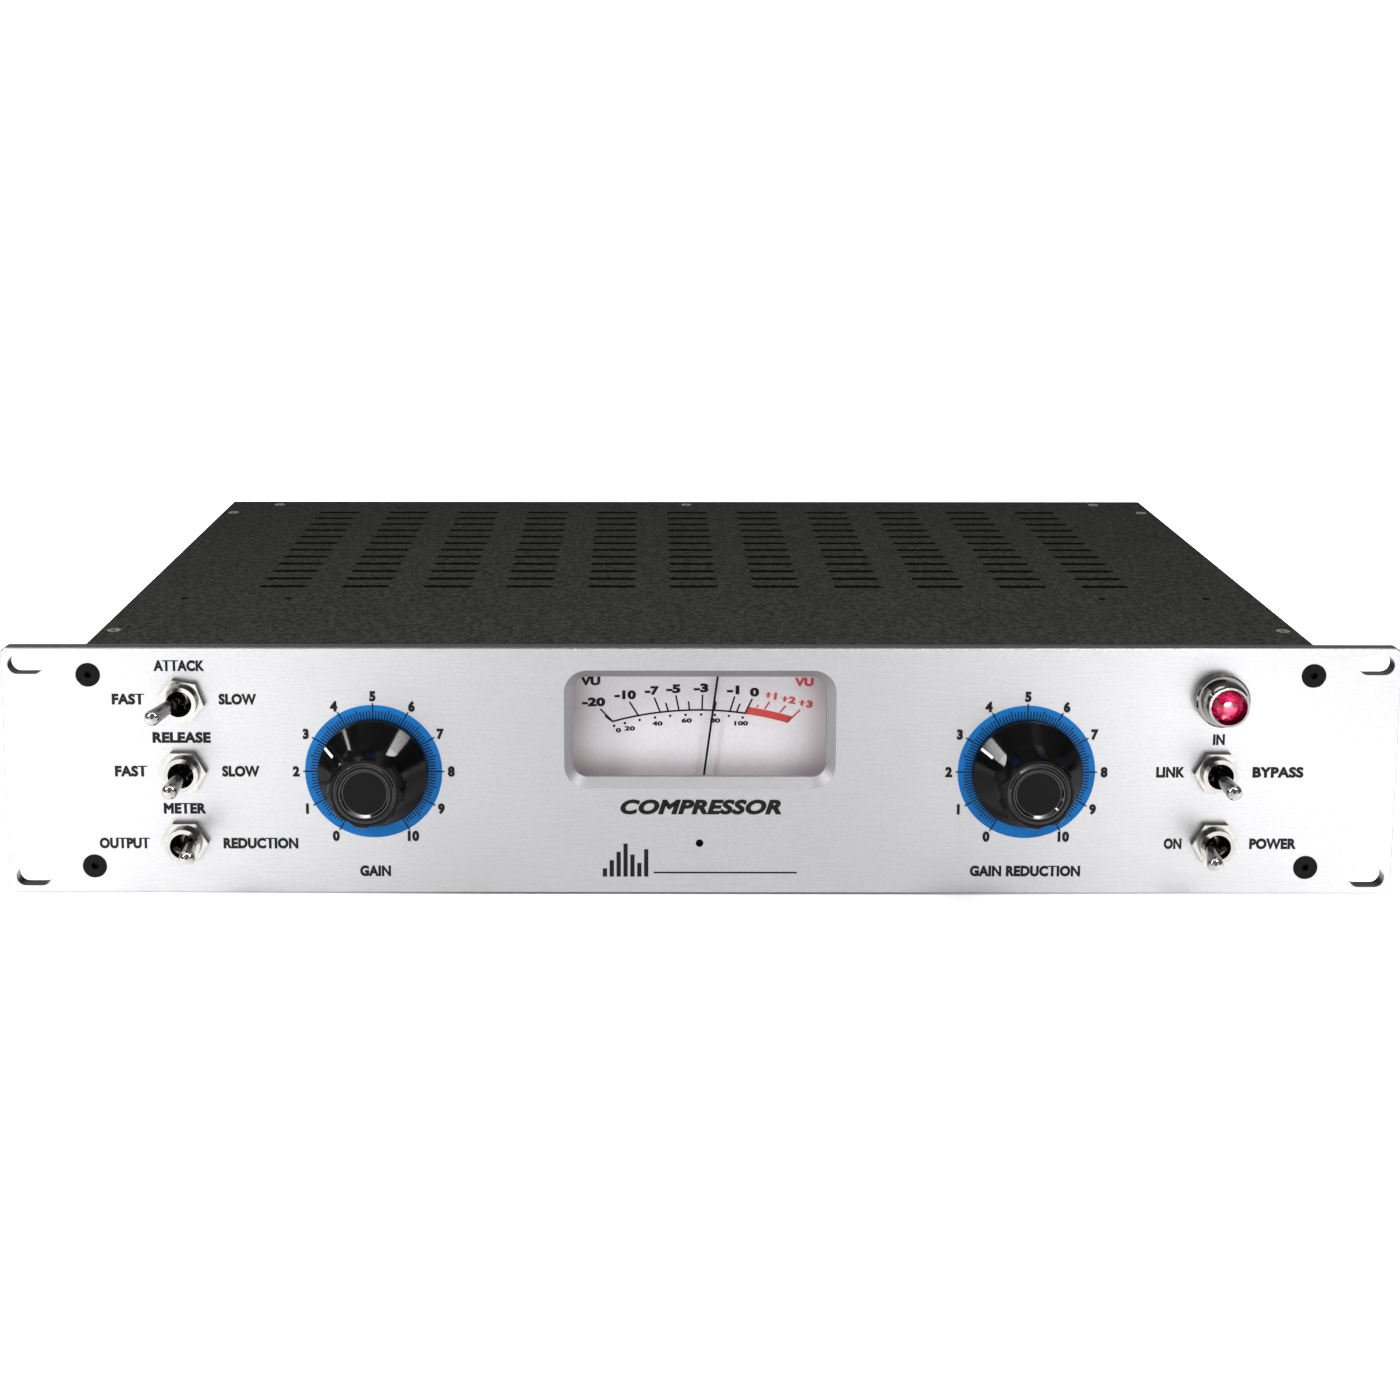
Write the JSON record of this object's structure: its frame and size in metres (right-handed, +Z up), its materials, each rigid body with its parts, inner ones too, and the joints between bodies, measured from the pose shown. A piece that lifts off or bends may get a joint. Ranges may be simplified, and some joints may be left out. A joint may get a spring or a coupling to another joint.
{
  "type": "rack compressor",
  "caption": "Two-unit rack audio compressor: brushed front panel with needle meter, two dials, toggle switches and lamp, vented black case.",
  "frame": {"origin": "centre of the four rack slots, on the front panel's back face (the rack rail plane)", "axes": "+X to the right seen from the front, +Y to the rear, +Z up"},
  "size_m": [0.4826, 0.2904, 0.0882],
  "materials": {
    "panel_aluminium": "horizontally brushed, clear anodised",
    "black_powder": "black fine-texture powder coat",
    "rail_aluminium": "black anodised bar",
    "black_screws": "black oxide",
    "zinc_screws": "bright zinc plate",
    "nickel": "polished nickel plate",
    "bezel_chrome": "polished chrome",
    "bakelite": "glossy black moulded",
    "red_jewel": "faceted red lens",
    "meter_lens": "clear acrylic",
    "dial_white": "matt white, lit",
    "needle_black": "matt black",
    "black_plastic": "moulded black",
    "switch_red": "phenolic",
    "steel_inner": "plain steel",
    "bulb_glass": "warm lamp glass",
    "contact_brass": "gold-coloured contacts",
    "toroid_wrap": "varnished tape over a wound core",
    "board_green": "glass-epoxy board",
    "tube_glass": "clear glass",
    "socket_cream": "ceramic",
    "capacitor_sleeve": "blue shrink sleeve"
  },
  "bodies": {
    "chassis": {"front_panel": "panel_aluminium", "side_rail_left": "rail_aluminium", "side_rail_right": "rail_aluminium", "rear_panel": "black_powder", "top_cover": "black_powder", "bottom_cover": "black_powder", "panel_screws": "black_screws", "top_cover_screws": "zinc_screws", "bottom_cover_screws": "zinc_screws", "rear_panel_screws": "black_screws", "connector_screws": "black_screws", "meter_housing": "black_plastic", "meter_window": "meter_lens", "meter_scale_plate": "dial_white", "meter_movement": "steel_inner", "bulbs": "bulb_glass", "meter_nuts": "zinc_screws", "gain_pot": "zinc_screws", "reduction_pot": "zinc_screws", "panel_nuts": "nickel", "lamp_bezel": "bezel_chrome", "lamp_jewel": "red_jewel", "lamp_holder": "steel_inner", "xlr_input": "nickel", "xlr_insert": "black_plastic", "xlr_output": "nickel", "connector_pins": "contact_brass", "link_jack": "black_plastic", "mains_inlet": "black_plastic", "fuse_holder": "black_plastic", "voltage_selector": "black_plastic", "power_transformer": "toroid_wrap", "transformer_clamp": "zinc_screws", "main_board": "board_green", "board_standoffs": "zinc_screws", "tube_sockets": "socket_cream", "tubes": "tube_glass", "audio_transformers": "steel_inner", "filter_capacitors": "capacitor_sleeve", "attack_switch": "nickel", "release_switch": "nickel", "meter_switch": "nickel", "link_switch": "nickel", "power_switch": "nickel"},
    "gain_knob": {"gain_knob": "bakelite", "gain_pot_shaft": "nickel", "gain_set_screw": "black_screws"},
    "reduction_knob": {"reduction_knob": "bakelite", "reduction_pot_shaft": "nickel", "reduction_set_screw": "black_screws"},
    "attack_lever": {"attack_lever": "nickel"},
    "release_lever": {"release_lever": "nickel"},
    "meter_lever": {"meter_lever": "nickel"},
    "link_lever": {"link_lever": "nickel"},
    "power_lever": {"power_lever": "nickel"},
    "meter_needle": {"meter_needle": "needle_black"},
    "meter_zero_screw": {"meter_zero_screw": "black_screws"},
    "xlr_latch": {"xlr_latch": "nickel"},
    "fuse_cap": {"fuse_cap": "black_plastic"},
    "voltage_slider": {"voltage_slider": "switch_red"}
  },
  "joints": [
    {"name": "gain_turn", "type": "hinge", "parent": "chassis", "child": "gain_knob", "pos_m": [-0.1131, -0.015, 0], "axis": [0, 1, 0], "range_deg": [-90, 210]},
    {"name": "reduction_turn", "type": "hinge", "parent": "chassis", "child": "reduction_knob", "pos_m": [0.1131, -0.015, 0], "axis": [0, 1, 0], "range_deg": [-90, 210]},
    {"name": "attack_toggle", "type": "hinge", "parent": "chassis", "child": "attack_lever", "pos_m": [-0.179, -0.0003, 0.0254], "axis": [0, 0, 1], "range_deg": [0, 25]},
    {"name": "release_toggle", "type": "hinge", "parent": "chassis", "child": "release_lever", "pos_m": [-0.179, -0.0003, 0], "axis": [0, 0, 1], "range_deg": [-12.5, 12.5]},
    {"name": "meter_toggle", "type": "hinge", "parent": "chassis", "child": "meter_lever", "pos_m": [-0.179, -0.0003, -0.0254], "axis": [-0.3256, 0, 0.9455], "range_deg": [-25, 0]},
    {"name": "link_toggle", "type": "hinge", "parent": "chassis", "child": "link_lever", "pos_m": [0.179, -0.0003, 0], "axis": [0, 0, 1], "range_deg": [-12.5, 12.5]},
    {"name": "power_toggle", "type": "hinge", "parent": "chassis", "child": "power_lever", "pos_m": [0.179, -0.0003, -0.0254], "axis": [0, 0, 1], "range_deg": [0, 25]},
    {"name": "needle_swing", "type": "hinge", "parent": "chassis", "child": "meter_needle", "pos_m": [0, 0.008, -0.0175], "axis": [0, 1, 0], "range_deg": [-52.5, 37.5], "stiffness_Nm_per_rad": 0.0005},
    {"name": "zero_adjust", "type": "hinge", "parent": "chassis", "child": "meter_zero_screw", "pos_m": [0, 0.001, -0.0258], "axis": [0, 1, 0], "range_deg": [-45, 45]},
    {"name": "latch_press", "type": "slide", "parent": "chassis", "child": "xlr_latch", "axis": [0, -1, 0], "range_m": [0, 0.002], "stiffness_N_per_m": 300},
    {"name": "fuse_cap_turn", "type": "hinge", "parent": "chassis", "child": "fuse_cap", "pos_m": [0.122, 0.258, 0], "axis": [0, 1, 0], "range_deg": [0, 60]},
    {"name": "voltage_slide", "type": "slide", "parent": "chassis", "child": "voltage_slider", "axis": [1, 0, 0], "range_m": [0, 0.0085]}
  ]
}
